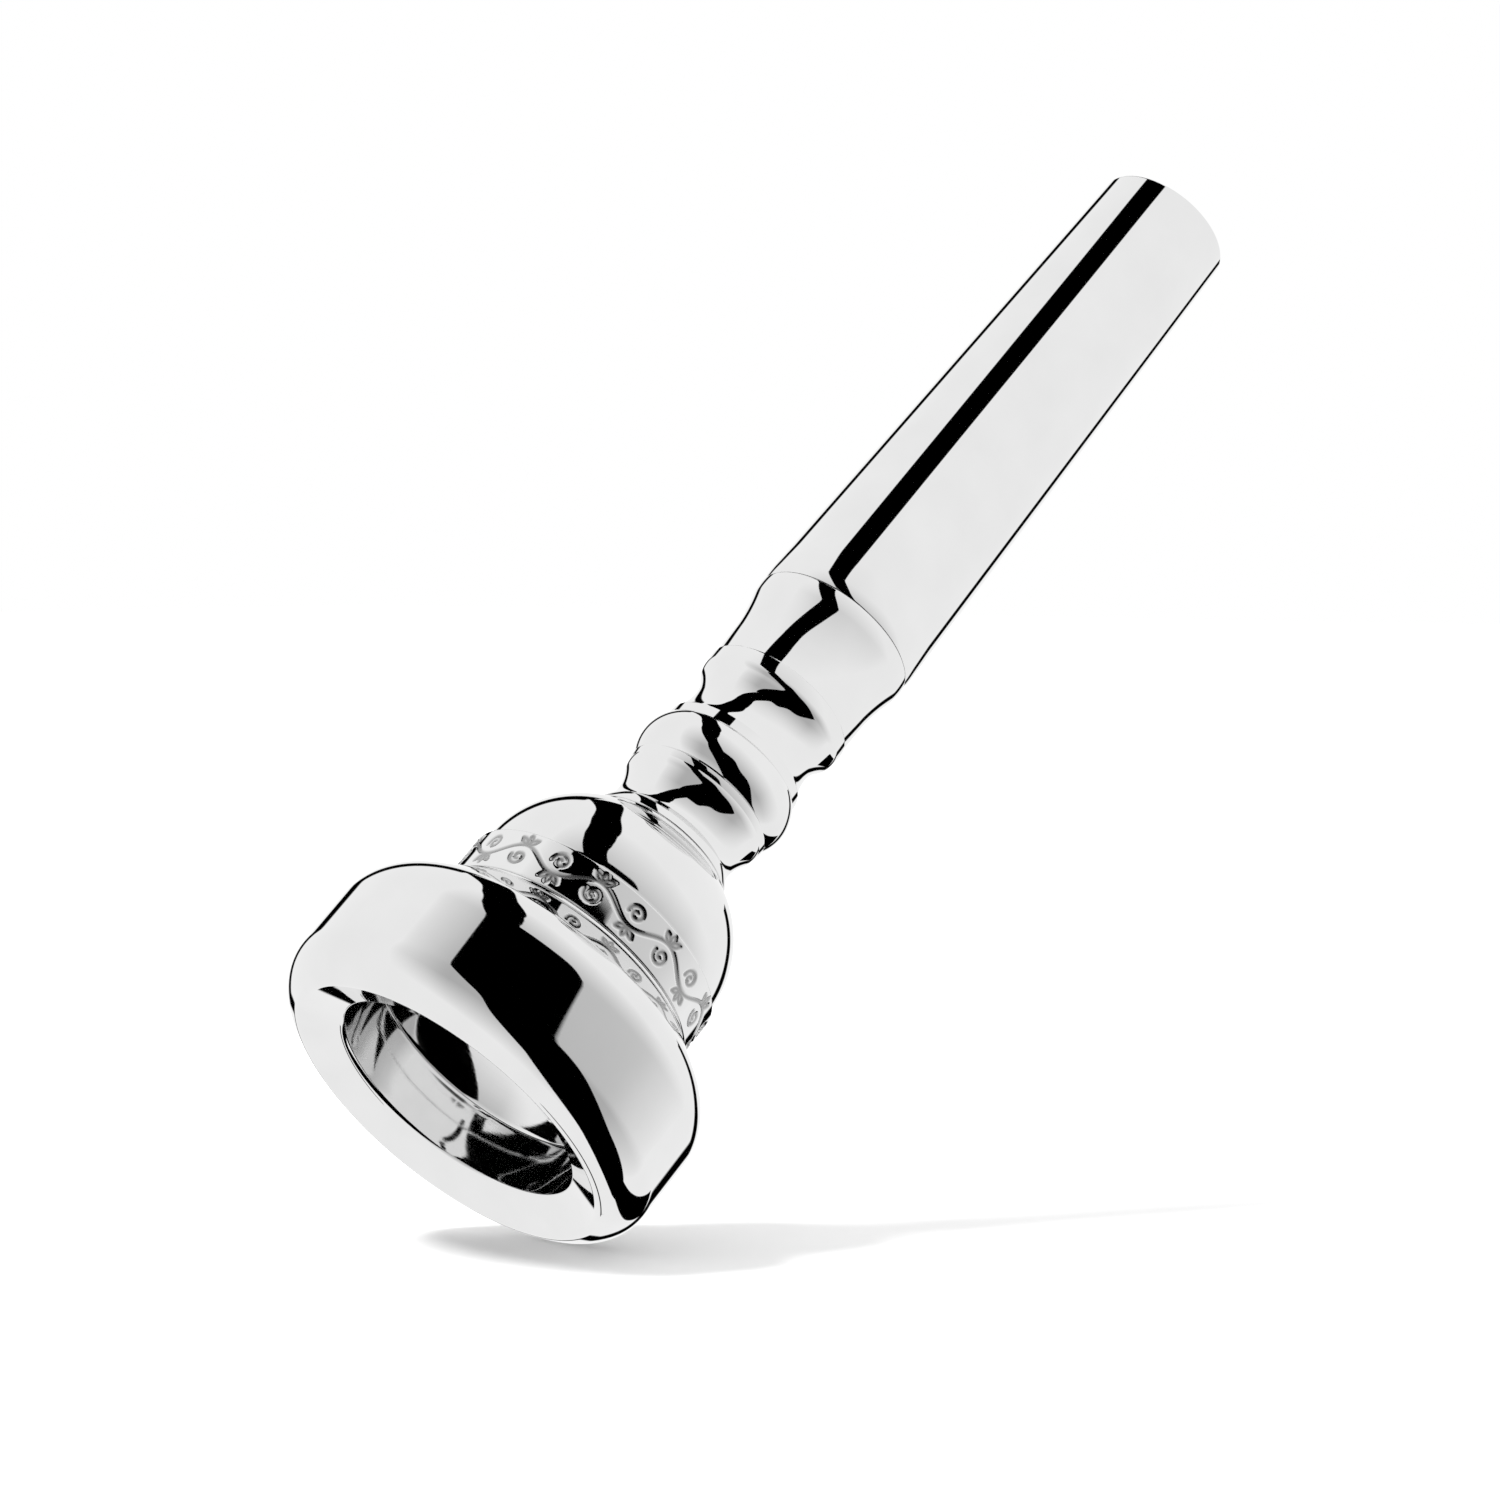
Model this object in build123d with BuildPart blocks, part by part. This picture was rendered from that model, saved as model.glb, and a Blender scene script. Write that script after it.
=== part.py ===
from build123d import *
import math
import os

# Trumpet mouthpiece that comes apart: a screw rim, a cup, a screw backbore, a tapered sleeve on
# the backbore's tail, and the two rubber rings that seal the screwed joints.
# Everything is turned about Z. The rim's face rests on Z = 0 and the shank points up (+Z).
# Each outline is drawn in the XZ plane, where local x is the radius and local y is the height.

# ---- driving dimensions, mm ----
overall_length = 85.1
rim_radius = 13.9            # outside of the rim
bowl_radius = 8.88           # the upper bowl is part of a sphere
bowl_centre_z = 2.1
throat_radius = 1.83         # 3.66 mm throat drill
band_radius = 9.5            # the smooth band below the rim
shank_end_radius = 4.85      # small end of the tapered shank
shank_taper = 0.055          # on the diameter

rim_seat_z = 5.0             # the cup's lip meets the rim's inner ledge
rim_back_z = 12.7            # the rim's back edge meets the cup's shoulder
band_top_z = 16.0
nose_seat_z = 15.8           # the backbore's nose meets the end of the throat
cup_end_z = 23.15            # the cup's end face meets the backbore's collar
sleeve_seat_z = 43.75        # the sleeve's wide end meets the backbore's shoulder

seat_gap = 0.03              # left between faces that meet when the screws are tight
slide_gap = 0.02             # radial gap of a sliding fit
screw_gap = 0.06             # between the crests of mating threads, and square to their flanks
edge_break = 0.08            # the small bevel on parting edges

screw_pitch = 0.75
screw_depth = 0.42
screw_crest = 0.10           # flat on the crest of a male ridge
rim_screw_radius = 9.2       # crest of the cup's male thread
stub_screw_radius = 3.5      # crest of the backbore's male thread
screw_run_out = 0.12         # a bore past a thread is this much larger than its crest
screw_root_overlap = 0.03    # a ridge starts this far inside the core that it stands on
tap_allowance = 0.15         # a bore is this much smaller before its thread is cut

os.makedirs("parts", exist_ok=True)


def bowl_at(z):
    """Point of the spherical bowl at a height."""
    return math.sqrt(bowl_radius**2 - (z - bowl_centre_z) ** 2), z


def on_arc(centre, radius, degrees):
    """Point of an arc, with the angle measured from straight outwards, upwards positive."""
    angle = math.radians(degrees)
    return centre[0] + radius * math.cos(angle), centre[1] + radius * math.sin(angle)


def ogee(start, end, share):
    """Two tangent arcs from start up to end, both running along the axis at their ends. The first
    takes the given share of the way."""
    turn = (start[0] + (end[0] - start[0]) * share, start[1] + (end[1] - start[1]) * share)
    first = TangentArc(start, turn, tangent=(0, 1))
    TangentArc(turn, end, tangent=first % 1)


def screw_ridge(crest_radius, low_z, turns, gap=0.0):
    """Helical ridge of a right-hand 60 degree thread, starting on the XZ plane at low_z. With a gap
    it is as much larger on every side."""
    inner = crest_radius - screw_depth + gap - screw_root_overlap
    outer = crest_radius + gap
    spread = math.tan(math.radians(30))
    outer_half = screw_crest / 2 - gap * spread + gap / math.cos(math.radians(30))
    inner_half = outer_half + (outer - inner) * spread
    with BuildPart() as ridge:
        with BuildLine() as path:
            Helix(screw_pitch, turns * screw_pitch, inner, center=(0, 0, low_z))
        with BuildSketch(Plane.XZ):
            with BuildLine():
                Polyline(
                    (inner, low_z - inner_half),
                    (outer, low_z - outer_half),
                    (outer, low_z + outer_half),
                    (inner, low_z + inner_half),
                    close=True,
                )
            make_face()
        sweep(path=path.line, is_frenet=True)
    return ridge.part


def screw_tap(crest_radius, low_z, turns):
    """What a mating thread takes out of a bore: a core with a larger ridge round it. Starts that
    are whole pitches apart keep the two threads in step."""
    with BuildPart() as tap:
        with Locations((0, 0, low_z)):
            Cylinder(
                crest_radius - screw_depth + screw_gap,
                turns * screw_pitch,
                align=(Align.CENTER, Align.CENTER, Align.MIN),
            )
        add(screw_ridge(crest_radius, low_z, turns, screw_gap))
    return tap.part


def seal_ring(centre_radius, centre_z, section_radius):
    """Rubber ring of round section."""
    with BuildPart() as ring:
        with BuildSketch(Plane.XZ):
            with Locations((centre_radius, centre_z)):
                Circle(section_radius)
        revolve(axis=Axis.Z)
    return ring


# ---- rim: the part that the lips touch, with the top of the bowl inside it ----
edge_round = 2.85            # outer edge of the rim's face
edge_centre = (rim_radius - edge_round, 2.855)
crown_round = 0.62           # the crown, where the face is highest
crown_centre = (11.68, crown_round)
edge_angle = -58.1           # where a straight cone joins the edge and the crown
face_angle = -112.3          # where the face's inner cone leaves the crown
face_inner = on_arc(crown_centre, crown_round, face_angle)
bite_round = 0.5             # the round at the face's inner edge, down to the bite
bite_centre_radius = 9.352
bite_start_radius = bite_centre_radius + bite_round * math.cos(math.radians(face_angle))
bite_start = (
    bite_start_radius,
    face_inner[1] + (face_inner[0] - bite_start_radius) * math.tan(math.radians(-90 - face_angle)),
)
bite_centre = (
    bite_centre_radius,
    bite_start[1] - bite_round * math.sin(math.radians(face_angle)),
)
bite = on_arc(bite_centre, bite_round, -170)
bowl_start = bowl_at(1.55)

back_slope = 51              # degrees between the rim's back and the axis
back_round = 4.0
back_centre = (rim_radius - back_round, 7.05)
back_corner = on_arc(back_centre, back_round, back_slope)
root_round = 0.6             # the hollow where the rim's back runs into the band
root_centre = (band_radius + root_round, 12.81)
root_start = on_arc(root_centre, root_round, 180 + back_slope)
back_edge = (root_centre[0] - math.sqrt(root_round**2 - (root_centre[1] - rim_back_z) ** 2), rim_back_z)

rim_screw_z = 6.1            # middle of the cup's ridge where it starts
rim_screw_turns = 3.6
rim_land_z = 9.2             # the cup's plain land starts above the thread
rim_bore = rim_screw_radius - screw_depth + screw_gap - tap_allowance
land_bore = rim_screw_radius + 0.07
relief_bore = rim_screw_radius + screw_run_out
rim_seal_section = 0.43
rim_seal_z = 10.0
rim_seal_radius = rim_screw_radius + 0.01 + rim_seal_section
gland_radius = rim_seal_radius + rim_seal_section + slide_gap
gland_low = rim_seal_z - rim_seal_section - slide_gap
gland_high = rim_seal_z + rim_seal_section + slide_gap

with BuildPart() as rim:
    with BuildSketch(Plane.XZ):
        with BuildLine():
            Polyline(
                bowl_at(rim_seat_z),
                (relief_bore, rim_seat_z),
                (relief_bore, rim_screw_z - 0.7),
                (rim_bore, rim_screw_z - 0.55),
                (rim_bore, rim_land_z - 0.15),
                (land_bore, rim_land_z - seat_gap),
                (land_bore, gland_low),
                (gland_radius, gland_low),
                (gland_radius, gland_high),
                (land_bore, gland_high),
                (land_bore, rim_back_z),
                (back_edge[0] - edge_break / 2, rim_back_z),
                (back_edge[0] + edge_break / 4, rim_back_z - edge_break),
            )
            TangentArc(
                root_start,
                (back_edge[0] + edge_break / 4, rim_back_z - edge_break),
                tangent=(-math.sin(math.radians(back_slope)), math.cos(math.radians(back_slope))),
            )
            Line(root_start, back_corner)
            TangentArc((rim_radius, back_centre[1]), back_corner, tangent=(0, 1))
            Line((rim_radius, back_centre[1]), (rim_radius, edge_centre[1]))
            edge = TangentArc(
                (rim_radius, edge_centre[1]),
                on_arc(edge_centre, edge_round, edge_angle),
                tangent=(0, -1),
            )
            Line(edge @ 1, on_arc(crown_centre, crown_round, edge_angle))
            ThreePointArc(
                on_arc(crown_centre, crown_round, edge_angle),
                (crown_centre[0], 0),
                face_inner,
            )
            Line(face_inner, bite_start)
            ThreePointArc(bite_start, on_arc(bite_centre, bite_round, -140), bite)
            Line(bite, bowl_start)
            ThreePointArc(bowl_start, bowl_at(bowl_centre_z), bowl_at(rim_seat_z))
        make_face()
    revolve(axis=Axis.Z)
    add(screw_tap(rim_screw_radius, rim_screw_z - screw_pitch, rim_screw_turns + 1.75),
        mode=Mode.SUBTRACT)
rim.part.label = "rim"
export_step(rim.part, "parts/rim.step")

# ---- rim seal: sits in the rim's groove and wipes the cup's land ----
rim_seal = seal_ring(rim_seal_radius, rim_seal_z, rim_seal_section)
rim_seal.part.label = "rim_seal"
export_step(rim_seal.part, "parts/rim_seal.step")

# ---- cup: the bowl and throat inside, the band and the ball outside, a thread at each end ----
throat_round = 3.0           # shoulder that leads from the bowl into the throat
throat_centre_r = throat_radius + throat_round
throat_start_z = bowl_centre_z + math.sqrt((bowl_radius + throat_round) ** 2 - throat_centre_r**2)
shoulder_share = bowl_radius / (bowl_radius + throat_round)
shoulder_start = (
    throat_centre_r * shoulder_share,
    bowl_centre_z + (throat_start_z - bowl_centre_z) * shoulder_share,
)
lip_radius = rim_screw_radius - 0.5
cup_lip_z = rim_seat_z + seat_gap

nose_bore = 2.95             # takes the nose of the backbore and its seal
stub_screw_z = 18.1          # middle of the backbore's ridge where it starts
stub_screw_turns = 5.0
stub_screw_end_z = 22.5
stub_bore = stub_screw_radius - screw_depth + screw_gap - tap_allowance
stub_relief = stub_screw_radius + screw_run_out

ball_round = 7.0
ball_centre = (2.1, 16.8)
ball_top = on_arc(ball_centre, ball_round, -6)
ball_bottom = on_arc(ball_centre, ball_round, 61.5)
cup_end_radius = 5.38

with BuildPart() as cup:
    with BuildSketch(Plane.XZ):
        with BuildLine():
            ThreePointArc(shoulder_start, bowl_at(7.5), bowl_at(cup_lip_z))
            Polyline(
                bowl_at(cup_lip_z),
                (lip_radius - edge_break, cup_lip_z),
                (lip_radius, cup_lip_z + edge_break),
                (lip_radius, rim_screw_z - 0.75),
                (rim_screw_radius - screw_depth, rim_screw_z - 0.65),
                (rim_screw_radius - screw_depth, rim_land_z),
                (rim_screw_radius, rim_land_z + 0.2),
                (rim_screw_radius, rim_back_z + seat_gap),
                (band_radius - edge_break, rim_back_z + seat_gap),
                (band_radius, rim_back_z + seat_gap + edge_break),
                (band_radius, band_top_z - edge_break),
                (band_radius - edge_break, band_top_z),
                (ball_top[0], band_top_z + 0.05),
                ball_top,
            )
            ThreePointArc(ball_top, on_arc(ball_centre, ball_round, 20), ball_bottom)
            Polyline(
                ball_bottom,
                (cup_end_radius, cup_end_z),
                (stub_relief, cup_end_z),
                (stub_relief, stub_screw_end_z),
                (stub_bore, stub_screw_end_z - 0.15),
                (stub_bore, stub_screw_z - 0.5),
                (stub_relief, stub_screw_z - 0.6),
                (stub_relief, stub_screw_z - 1.15),
                (nose_bore, stub_screw_z - 1.15),
                (nose_bore, nose_seat_z),
                (throat_radius, nose_seat_z),
                (throat_radius, throat_start_z),
            )
            TangentArc((throat_radius, throat_start_z), shoulder_start, tangent=(0, -1))
        make_face()
    revolve(axis=Axis.Z)
    add(screw_ridge(rim_screw_radius, rim_screw_z, rim_screw_turns))
    add(screw_tap(stub_screw_radius, stub_screw_z - screw_pitch, stub_screw_turns + 2),
        mode=Mode.SUBTRACT)
cup.part.label = "cup"
export_step(cup.part, "parts/cup.step")

# ---- backbore: nose and screw stub, the turned waist, and the tail that carries the sleeve ----
nose_radius = nose_bore - 0.1
nose_end_z = nose_seat_z + seat_gap
collar_z = cup_end_z + seat_gap
stub_seal_section = 0.30
stub_seal_z = 16.4
stub_seal_radius = nose_bore - 0.03 - stub_seal_section
stub_gland_radius = stub_seal_radius - stub_seal_section - slide_gap
stub_gland_low = stub_seal_z - stub_seal_section - slide_gap
stub_gland_high = stub_seal_z + stub_seal_section + slide_gap

neck_radius = 4.62           # smallest radius of the waist, in both hollows
lower_lip_end = (5.0, 24.0)
lower_neck = (neck_radius, 25.1)
lower_ogee_end = (5.25, 27.45)
lower_ring_end = (5.38, 27.92)
bead_round = 2.6
bead_centre = (5.78 - bead_round, 29.75)
bead_low = on_arc(bead_centre, bead_round, -42)
bead_high = on_arc(bead_centre, bead_round, 33)
upper_lip_end = (5.18, 32.05)
upper_neck = (neck_radius, 34.1)
upper_ogee_end = (5.40, 36.35)
upper_ring_end = (5.46, 37.15)
flare_start = (5.38, 39.2)
flare_end = (5.93, 43.65)
cove_share = 0.75            # how much of an ogee's length its hollow takes

tail_radius = 4.40
tail_end_z = overall_length - 0.3
bore_flare_z = 18.5          # the bore is straight up to here
tail_bore_radius = 3.95

with BuildPart() as backbore:
    with BuildSketch(Plane.XZ):
        with BuildLine():
            Polyline(
                (throat_radius, bore_flare_z),
                (throat_radius, nose_end_z),
                (nose_radius - edge_break, nose_end_z),
                (nose_radius, nose_end_z + edge_break),
                (nose_radius, stub_gland_low),
                (stub_gland_radius, stub_gland_low),
                (stub_gland_radius, stub_gland_high),
                (nose_radius, stub_gland_high),
                (nose_radius, stub_screw_z - 0.7),
                (stub_screw_radius - screw_depth, stub_screw_z - 0.5),
                (stub_screw_radius - screw_depth, stub_screw_end_z),
                (stub_screw_radius + 0.05, stub_screw_end_z + 0.1),
                (stub_screw_radius + 0.05, collar_z),
                (cup_end_radius - edge_break, collar_z),
                (cup_end_radius - 0.02, collar_z + edge_break),
            )
            Line((cup_end_radius - 0.02, collar_z + edge_break), lower_lip_end)
            TangentArc(lower_neck, lower_lip_end, tangent=(0, -1))
            ogee(lower_neck, lower_ogee_end, cove_share)
            Polyline(lower_ogee_end, lower_ring_end, (bead_low[0], lower_ring_end[1] + 0.08), bead_low)
            ThreePointArc(bead_low, on_arc(bead_centre, bead_round, 0), bead_high)
            Polyline(bead_high, (bead_high[0] - 0.12, bead_high[1] + 0.12), upper_lip_end)
            TangentArc(upper_neck, upper_lip_end, tangent=(0, -1))
            ogee(upper_neck, upper_ogee_end, cove_share)
            Polyline(upper_ogee_end, upper_ring_end, (flare_start[0] - 0.02, upper_ring_end[1] + 0.08),
                flare_start)
            ogee(flare_start, flare_end, cove_share)
            Polyline(
                flare_end,
                (flare_end[0] - edge_break, sleeve_seat_z),
                (tail_radius, sleeve_seat_z),
                (tail_radius, tail_end_z),
                (tail_bore_radius, tail_end_z),
            )
            ogee((throat_radius, bore_flare_z), (tail_bore_radius, tail_end_z), 0.35)
        make_face()
    revolve(axis=Axis.Z)
    add(screw_ridge(stub_screw_radius, stub_screw_z, stub_screw_turns))
backbore.part.label = "backbore"
export_step(backbore.part, "parts/backbore.step")

# ---- backbore seal: sits in the groove of the backbore's nose ----
backbore_seal = seal_ring(stub_seal_radius, stub_seal_z, stub_seal_section)
backbore_seal.part.label = "backbore_seal"
export_step(backbore_seal.part, "parts/backbore_seal.step")

# ---- shank sleeve: the tapered tube that fits the instrument's receiver ----
sleeve_bore = tail_radius + slide_gap
sleeve_low_z = sleeve_seat_z + seat_gap
collar_chamfer = 0.8         # length of the sleeve's chamfer beside the flare
sleeve_wide_z = sleeve_low_z + collar_chamfer
sleeve_wide_radius = shank_end_radius + (overall_length - sleeve_wide_z) * shank_taper / 2
end_round = 0.15

with BuildPart() as shank_sleeve:
    with BuildSketch(Plane.XZ):
        with BuildLine():
            Polyline(
                (shank_end_radius - end_round, overall_length),
                (sleeve_bore, overall_length),
                (sleeve_bore, sleeve_low_z),
                (flare_end[0] - edge_break, sleeve_low_z),
                (sleeve_wide_radius, sleeve_wide_z),
                (shank_end_radius, overall_length - end_round),
            )
            TangentArc(
                (shank_end_radius, overall_length - end_round),
                (shank_end_radius - end_round, overall_length),
                tangent=(0, 1),
            )
        make_face()
    revolve(axis=Axis.Z)
shank_sleeve.part.label = "shank_sleeve"
export_step(shank_sleeve.part, "parts/shank_sleeve.step")
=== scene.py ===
import math

import bpy
import numpy as np
from mathutils import Matrix, Vector


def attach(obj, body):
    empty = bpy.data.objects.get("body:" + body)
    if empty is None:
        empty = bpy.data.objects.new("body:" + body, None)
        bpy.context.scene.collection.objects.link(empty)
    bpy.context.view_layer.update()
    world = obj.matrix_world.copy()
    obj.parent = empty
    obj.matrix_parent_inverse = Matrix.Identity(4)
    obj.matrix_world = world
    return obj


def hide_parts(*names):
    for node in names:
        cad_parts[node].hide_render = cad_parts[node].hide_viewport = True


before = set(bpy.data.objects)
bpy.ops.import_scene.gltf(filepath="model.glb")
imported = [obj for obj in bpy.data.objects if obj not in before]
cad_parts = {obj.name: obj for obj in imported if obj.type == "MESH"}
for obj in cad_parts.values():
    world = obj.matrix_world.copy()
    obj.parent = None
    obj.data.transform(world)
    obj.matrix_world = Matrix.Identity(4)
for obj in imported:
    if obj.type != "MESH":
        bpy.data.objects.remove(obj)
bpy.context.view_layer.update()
print("mouthpiece frame loaded")

mm = 0.001
scene = bpy.context.scene

# where the camera stands, the directions of its picture, and its lens in mm
shot = {
    "place": (0.0, -0.329886, -0.127554),
    "right": (0.77747, -0.27671, 0.56478),
    "up": (-0.62892, -0.34000, 0.69918),
    "back": (-0.00144, -0.89879, -0.43837),
    "lens": 133.704,
}
cameraData = bpy.data.cameras.new("studioCamera")
cameraData.lens = shot["lens"]
cameraData.sensor_width = 36
cameraData.clip_start = 0.01
camera = bpy.data.objects.new("studioCamera", cameraData)
turnMatrix = Matrix((shot["right"], shot["up"], shot["back"])).transposed()
camera.matrix_world = Matrix.Translation(shot["place"]) @ turnMatrix.to_4x4()
scene.collection.objects.link(camera)
scene.camera = camera
print("camera placed")


def toLinear(hexColour):
    # sRGB hex to linear light: the low end is a straight line, the rest a 2.4 power
    channels = np.array([int(hexColour[i:i + 2], 16) for i in (1, 3, 5)]) / 255
    linear = np.where(channels <= 0.04045, channels / 12.92, ((channels + 0.055) / 1.055) ** 2.4)
    return (*linear.tolist(), 1.0)


def addNode(tree, kind, settings=None, links=None):
    # settings are the node's own properties, links fill sockets with a value or another socket
    node = tree.nodes.new(kind)
    for key, value in (settings or {}).items():
        setattr(node, key, value)
    for socket, value in (links or {}).items():
        if isinstance(value, bpy.types.NodeSocket):
            tree.links.new(value, node.inputs[socket])
        else:
            node.inputs[socket].default_value = value
    return node


def newMaterial(name):
    material = bpy.data.materials.new(name)
    material.use_nodes = True
    tree = material.node_tree
    tree.nodes.clear()
    return material, tree, addNode(tree, "ShaderNodeOutputMaterial")


def turnedVector(tree, across, around):
    # (radius, height, angle) of a point, so that a pattern runs round the axis as a tool does:
    # across is how many cells there are in a millimetre, around is how many in a radian
    position = addNode(tree, "ShaderNodeTexCoord").outputs["Object"]
    parts = addNode(tree, "ShaderNodeSeparateXYZ", links={0: position})
    flat = addNode(tree, "ShaderNodeCombineXYZ", links={0: parts.outputs[0], 1: parts.outputs[1]})
    radius = addNode(tree, "ShaderNodeVectorMath", {"operation": "LENGTH"}, {0: flat.outputs[0]})
    angle = addNode(tree, "ShaderNodeMath", {"operation": "ARCTAN2"},
                    {0: parts.outputs[1], 1: parts.outputs[0]})
    scaled = [
        addNode(tree, "ShaderNodeMath", {"operation": "MULTIPLY"}, {0: socket, 1: factor}).outputs[0]
        for socket, factor in (
            (radius.outputs["Value"], across / mm),
            (parts.outputs[2], across / mm),
            (angle.outputs[0], around),
        )
    ]
    return addNode(tree, "ShaderNodeCombineXYZ", links=dict(enumerate(scaled))).outputs[0]


# Bright silver plate on turned and buffed brass: a near mirror, a little grey, with hairlines left
# by the buffing wheel that only show where a bright and a dark reflection meet.
plate = {
    "colour": "#ECECEC",
    "dull": "#E3E3E3",
    "patch": 0.25,           # slow changes of tone, per millimetre
    "graved": "#A2A2A2",     # painted shade in a graver's cut, mixed in by how deep the cut is
    "gravedRoughness": 0.3,  # added to the plate's own in the cut
    "lineLevels": (0.35, 0.75),  # the lines' noise where the plate is brightest and dullest
    "lineDetail": 0.65,
}
buffed = {
    "name": "silverPlatedBrassBuffed",
    "roughness": (0.018, 0.05),
    "lines": 9.0,            # per millimetre, coarser than real hairlines so that they show
    "lineHeight": 0.00004,   # mm
    "around": 0.6,           # changes of a line per radian
}

# The same plate over tool marks: rings left by the form tool in the bowl, about 0.15 mm apart.
bowlCut = {
    "name": "silverPlatedBrassTurned",
    "roughness": (0.03, 0.09),
    "lines": 7.0,
    "lineHeight": 0.0011,
    "around": 0.25,
}

# Moulded nitrile rubber: matt black with a fine even bloom and a soft sheen.
rubber = {
    "colour": "#151515",
    "bloom": "#232322",
    "roughness": (0.42, 0.6),
    "grain": 11.0,           # per millimetre
    "grainHeight": 0.004,    # mm
}


def silverPlate(finish):
    # the point attribute called graved is 1 at the bottom of an engraved cut and 0 elsewhere
    material, tree, output = newMaterial(finish["name"])
    position = addNode(tree, "ShaderNodeTexCoord").outputs["Object"]
    patches = addNode(tree, "ShaderNodeTexNoise", links={
        "Vector": position, "Scale": plate["patch"] / mm, "Detail": 3.0})
    tone = addNode(tree, "ShaderNodeMix", {"data_type": "RGBA"}, {
        "Factor": patches.outputs["Fac"],
        "A": toLinear(plate["dull"]), "B": toLinear(plate["colour"])})
    graved = addNode(tree, "ShaderNodeAttribute", {"attribute_name": "graved"}).outputs["Fac"]
    # painted shade: the plate's colour darkens towards the bottom of each engraved cut
    paintedCutShade = addNode(tree, "ShaderNodeMix", {"data_type": "RGBA"}, {
        "Factor": graved, "A": tone.outputs["Result"], "B": toLinear(plate["graved"])})
    lines = addNode(tree, "ShaderNodeTexNoise", links={
        "Vector": turnedVector(tree, finish["lines"], finish["around"]), "Scale": 1.0,
        "Detail": 4.0, "Roughness": plate["lineDetail"]})
    dullness = addNode(tree, "ShaderNodeMapRange", links={
        "Value": lines.outputs["Fac"],
        "From Min": plate["lineLevels"][0], "From Max": plate["lineLevels"][1],
        "To Min": finish["roughness"][0], "To Max": finish["roughness"][1]})
    cutDullness = addNode(tree, "ShaderNodeMath", {"operation": "MULTIPLY_ADD"}, {
        0: graved, 1: plate["gravedRoughness"], 2: dullness.outputs["Result"]})
    relief = addNode(tree, "ShaderNodeBump", links={
        "Height": lines.outputs["Fac"], "Strength": 1.0, "Distance": finish["lineHeight"] * mm})
    shader = addNode(tree, "ShaderNodeBsdfPrincipled", links={
        "Base Color": paintedCutShade.outputs["Result"], "Metallic": 1.0,
        "Roughness": cutDullness.outputs[0], "Normal": relief.outputs["Normal"]})
    tree.links.new(shader.outputs[0], output.inputs["Surface"])
    return material


def mouldedRubber():
    material, tree, output = newMaterial("mouldedNitrile")
    position = addNode(tree, "ShaderNodeTexCoord").outputs["Object"]
    grain = addNode(tree, "ShaderNodeTexNoise", links={
        "Vector": position, "Scale": rubber["grain"] / mm, "Detail": 3.0})
    tone = addNode(tree, "ShaderNodeMix", {"data_type": "RGBA"}, {
        "Factor": grain.outputs["Fac"],
        "A": toLinear(rubber["colour"]), "B": toLinear(rubber["bloom"])})
    dullness = addNode(tree, "ShaderNodeMapRange", links={
        "Value": grain.outputs["Fac"],
        "To Min": rubber["roughness"][0], "To Max": rubber["roughness"][1]})
    relief = addNode(tree, "ShaderNodeBump", links={
        "Height": grain.outputs["Fac"], "Strength": 0.5, "Distance": rubber["grainHeight"] * mm})
    shader = addNode(tree, "ShaderNodeBsdfPrincipled", links={
        "Base Color": tone.outputs["Result"], "Roughness": dullness.outputs["Result"],
        "Normal": relief.outputs["Normal"], "IOR": 1.52})
    tree.links.new(shader.outputs[0], output.inputs["Surface"])
    return material


buffedSilver = silverPlate(buffed)
turnedSilver = silverPlate(bowlCut)
nitrile = mouldedRubber()
print("materials made")


# Outlines hold radius and height in millimetres.

def arc(centre, radius, start, end):
    # points of a circle from one angle to another, 2 degrees and 0.25 mm apart or closer
    sweep = math.radians(end - start)
    count = max(4, math.ceil(abs(sweep) / math.radians(2.0)), math.ceil(abs(sweep) * radius / 0.25))
    angles = math.radians(start) + sweep * np.linspace(0, 1, count + 1)
    return np.column_stack([centre[0] + radius * np.cos(angles), centre[1] + radius * np.sin(angles)])


def lineUp(start, end, step):
    # evenly spaced points of a straight run
    count = max(1, math.ceil(math.dist(start, end) / step))
    return np.array(start) + (np.array(end) - np.array(start)) * np.linspace(0, 1, count + 1)[:, None]


def hollow(neck, foot):
    # a circle's arc that starts along the axis at the neck and ends at the foot:
    # with half its chord's slope a, it turns by twice a and its radius is the rise over sin(2a)
    across, rise = foot[0] - neck[0], foot[1] - neck[1]
    sweep = 2 * math.atan2(abs(across), abs(rise))
    radius = abs(rise) / math.sin(sweep)
    angles = np.linspace(0, sweep, 15)
    return np.column_stack([
        neck[0] + math.copysign(1, across) * radius * (1 - np.cos(angles)),
        neck[1] + math.copysign(1, rise) * radius * np.sin(angles)])


def ogee(start, end, share):
    # two such arcs that meet at the given share of the way, one from each end
    middle = (start[0] + (end[0] - start[0]) * share, start[1] + (end[1] - start[1]) * share)
    return np.vstack([hollow(start, middle), hollow(end, middle)[::-1]])


def joined(*parts):
    # one closed outline, without repeated points, running anticlockwise
    points = np.vstack([np.atleast_2d(part) for part in parts])
    apart = np.linalg.norm(points - np.roll(points, 1, axis=0), axis=1) > 1e-5
    points = points[apart]
    following = np.roll(points, -1, axis=0)
    area = np.sum(points[:, 0] * following[:, 1] - following[:, 0] * points[:, 1])
    return points if area > 0 else points[::-1]


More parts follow.
